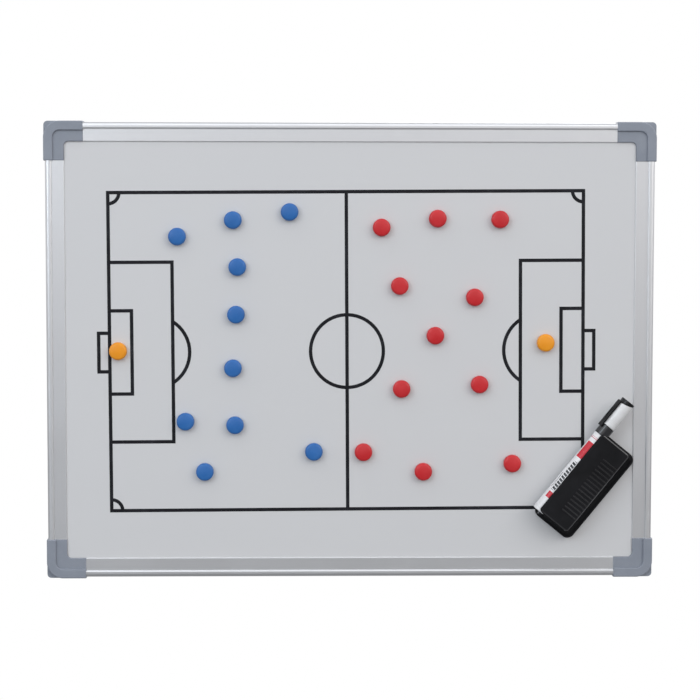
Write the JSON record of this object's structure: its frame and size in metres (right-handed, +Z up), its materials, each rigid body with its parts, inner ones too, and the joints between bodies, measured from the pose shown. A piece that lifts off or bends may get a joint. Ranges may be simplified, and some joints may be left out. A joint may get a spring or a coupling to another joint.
{
  "type": "tactics board",
  "caption": "Wall-hung magnetic tactics board: white sheet with pitch lines in an aluminium frame with moulded corners, round player magnets and an eraser that holds a marker.",
  "frame": {"origin": "centre of the four hanging keyholes, in the plane of the wall", "axes": "+X to the right as seen from the front, +Y into the wall, +Z up"},
  "size_m": [0.6, 0.0351, 0.45],
  "materials": {
    "white_enamel": "satin white baked enamel",
    "pitch_ink": "printed black lines",
    "core_board": "plain fibre board",
    "zinc_sheet": "galvanised",
    "rail_aluminium": "silver anodised, drawn along its length",
    "corner_grey": "fine moulded texture",
    "screw_steel": "zinc plated",
    "magnet_blue": "satin moulded",
    "magnet_red": "satin moulded",
    "magnet_orange": "satin moulded",
    "eraser_black": "satin moulded",
    "wiping_felt": "dense felt",
    "magnet_bar": "sintered ferrite",
    "marker_white": "smooth moulded",
    "marker_black": "glossy moulded",
    "ink_fibre": "ink-soaked fibre",
    "nib_fibre": "pressed fibre tip"
  },
  "bodies": {
    "board": {"writing_sheet": "white_enamel", "pitch_markings": "pitch_ink", "core_panel": "core_board", "back_sheet": "zinc_sheet", "rail_bottom": "rail_aluminium", "rail_left": "rail_aluminium", "rail_right": "rail_aluminium", "rail_top": "rail_aluminium", "corner_bottom_left": "corner_grey", "corner_bottom_right": "corner_grey", "corner_top_left": "corner_grey", "corner_top_right": "corner_grey", "corner_screws": "screw_steel"},
    "magnet_blue_01": {"magnet_blue_01": "magnet_blue"},
    "magnet_blue_02": {"magnet_blue_02": "magnet_blue"},
    "magnet_blue_03": {"magnet_blue_03": "magnet_blue"},
    "magnet_blue_04": {"magnet_blue_04": "magnet_blue"},
    "magnet_blue_05": {"magnet_blue_05": "magnet_blue"},
    "magnet_blue_06": {"magnet_blue_06": "magnet_blue"},
    "magnet_blue_07": {"magnet_blue_07": "magnet_blue"},
    "magnet_blue_08": {"magnet_blue_08": "magnet_blue"},
    "magnet_blue_09": {"magnet_blue_09": "magnet_blue"},
    "magnet_blue_10": {"magnet_blue_10": "magnet_blue"},
    "magnet_red_01": {"magnet_red_01": "magnet_red"},
    "magnet_red_02": {"magnet_red_02": "magnet_red"},
    "magnet_red_03": {"magnet_red_03": "magnet_red"},
    "magnet_red_04": {"magnet_red_04": "magnet_red"},
    "magnet_red_05": {"magnet_red_05": "magnet_red"},
    "magnet_red_06": {"magnet_red_06": "magnet_red"},
    "magnet_red_07": {"magnet_red_07": "magnet_red"},
    "magnet_red_08": {"magnet_red_08": "magnet_red"},
    "magnet_red_09": {"magnet_red_09": "magnet_red"},
    "magnet_red_10": {"magnet_red_10": "magnet_red"},
    "magnet_red_11": {"magnet_red_11": "magnet_red"},
    "magnet_orange_01": {"magnet_orange_01": "magnet_orange"},
    "magnet_orange_02": {"magnet_orange_02": "magnet_orange"},
    "eraser": {"eraser_body": "eraser_black", "eraser_felt": "wiping_felt", "eraser_magnets": "magnet_bar"},
    "marker": {"marker_barrel": "marker_white", "marker_end_plug": "marker_white", "marker_collar": "marker_black", "marker_reservoir": "ink_fibre", "marker_nib": "nib_fibre"},
    "marker_cap": {"marker_cap": "marker_white", "marker_cap_clip": "marker_black"}
  },
  "joints": [
    {"name": "slide_blue_01", "type": "slide", "parent": "board", "child": "magnet_blue_01", "axis": [1, 0, 0], "range_m": [-0.018, 0.035]},
    {"name": "slide_blue_02", "type": "slide", "parent": "board", "child": "magnet_blue_02", "axis": [1, 0, 0], "range_m": [-0.018, 0.018]},
    {"name": "slide_blue_03", "type": "slide", "parent": "board", "child": "magnet_blue_03", "axis": [1, 0, 0], "range_m": [-0.1, 0.018]},
    {"name": "slide_blue_04", "type": "slide", "parent": "board", "child": "magnet_blue_04", "axis": [1, 0, 0], "range_m": [-0.158, 0.07]},
    {"name": "slide_blue_05", "type": "slide", "parent": "board", "child": "magnet_blue_05", "axis": [1, 0, 0], "range_m": [-0.157, 0.108]},
    {"name": "slide_blue_06", "type": "slide", "parent": "board", "child": "magnet_blue_06", "axis": [1, 0, 0], "range_m": [-0.047, 0.112]},
    {"name": "slide_blue_07", "type": "slide", "parent": "board", "child": "magnet_blue_07", "axis": [1, 0, 0], "range_m": [-0.107, 0.015]},
    {"name": "slide_blue_08", "type": "slide", "parent": "board", "child": "magnet_blue_08", "axis": [1, 0, 0], "range_m": [-0.015, 0.342]},
    {"name": "slide_blue_09", "type": "slide", "parent": "board", "child": "magnet_blue_09", "axis": [1, 0, 0], "range_m": [-0.233, 0.015]},
    {"name": "slide_blue_10", "type": "slide", "parent": "board", "child": "magnet_blue_10", "axis": [1, 0, 0], "range_m": [-0.126, 0.098]},
    {"name": "slide_red_01", "type": "slide", "parent": "board", "child": "magnet_red_01", "axis": [1, 0, 0], "range_m": [-0.018, 0.021]},
    {"name": "slide_red_02", "type": "slide", "parent": "board", "child": "magnet_red_02", "axis": [1, 0, 0], "range_m": [-0.021, 0.123]},
    {"name": "slide_red_03", "type": "slide", "parent": "board", "child": "magnet_red_03", "axis": [1, 0, 0], "range_m": [-0.035, 0.018]},
    {"name": "slide_red_04", "type": "slide", "parent": "board", "child": "magnet_red_04", "axis": [1, 0, 0], "range_m": [-0.07, 0.027]},
    {"name": "slide_red_05", "type": "slide", "parent": "board", "child": "magnet_red_05", "axis": [1, 0, 0], "range_m": [-0.027, 0.148]},
    {"name": "slide_red_06", "type": "slide", "parent": "board", "child": "magnet_red_06", "axis": [1, 0, 0], "range_m": [-0.146, 0.045]},
    {"name": "slide_red_07", "type": "slide", "parent": "board", "child": "magnet_red_07", "axis": [1, 0, 0], "range_m": [-0.029, 0.133]},
    {"name": "slide_red_08", "type": "slide", "parent": "board", "child": "magnet_red_08", "axis": [1, 0, 0], "range_m": [-0.32, 0.029]},
    {"name": "slide_red_09", "type": "slide", "parent": "board", "child": "magnet_red_09", "axis": [1, 0, 0], "range_m": [-0.015, 0.064]},
    {"name": "slide_red_10", "type": "slide", "parent": "board", "child": "magnet_red_10", "axis": [1, 0, 0], "range_m": [-0.034, 0.036]},
    {"name": "slide_red_11", "type": "slide", "parent": "board", "child": "magnet_red_11", "axis": [1, 0, 0], "range_m": [-0.098, 0.034]},
    {"name": "slide_orange_01", "type": "slide", "parent": "board", "child": "magnet_orange_01", "axis": [1, 0, 0], "range_m": [-0.041, 0.047]},
    {"name": "slide_orange_02", "type": "slide", "parent": "board", "child": "magnet_orange_02", "axis": [1, 0, 0], "range_m": [-0.045, 0.078]},
    {"name": "eraser_lift", "type": "slide", "parent": "board", "child": "eraser", "axis": [0, -1, 0], "range_m": [0, 0.08]},
    {"name": "marker_pull", "type": "slide", "parent": "eraser", "child": "marker", "axis": [0.632, 0, 0.7749], "range_m": [0, 0.105]},
    {"name": "cap_pull", "type": "slide", "parent": "marker", "child": "marker_cap", "axis": [0.632, 0, 0.7749], "range_m": [0, 0.03]}
  ]
}
